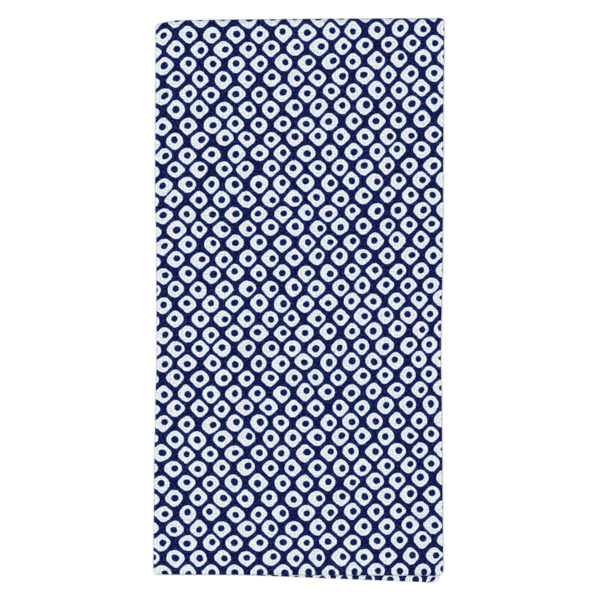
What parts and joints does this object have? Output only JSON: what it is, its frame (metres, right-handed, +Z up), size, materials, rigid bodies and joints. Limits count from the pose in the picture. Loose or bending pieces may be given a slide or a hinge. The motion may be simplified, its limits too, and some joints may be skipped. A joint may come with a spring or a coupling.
{
  "type": "folded cotton towel",
  "caption": "Flat printed cotton towel folded in thirds and then twice in half into a thin oblong packet, lying flat, with an all-over pattern of dyed spots.",
  "frame": {"origin": "middle of the flat underside", "axes": "+Z up out of the face that shows, +Y along the packet towards its outer fold, +X across it to the right"},
  "size_m": [0.1173, 0.2287, 0.0065],
  "materials": {
    "cloth": "matt plain-weave cotton, navy and off-white dyed spots"
  },
  "bodies": {
    "root": {"cloth": "cloth"}
  },
  "joints": []
}
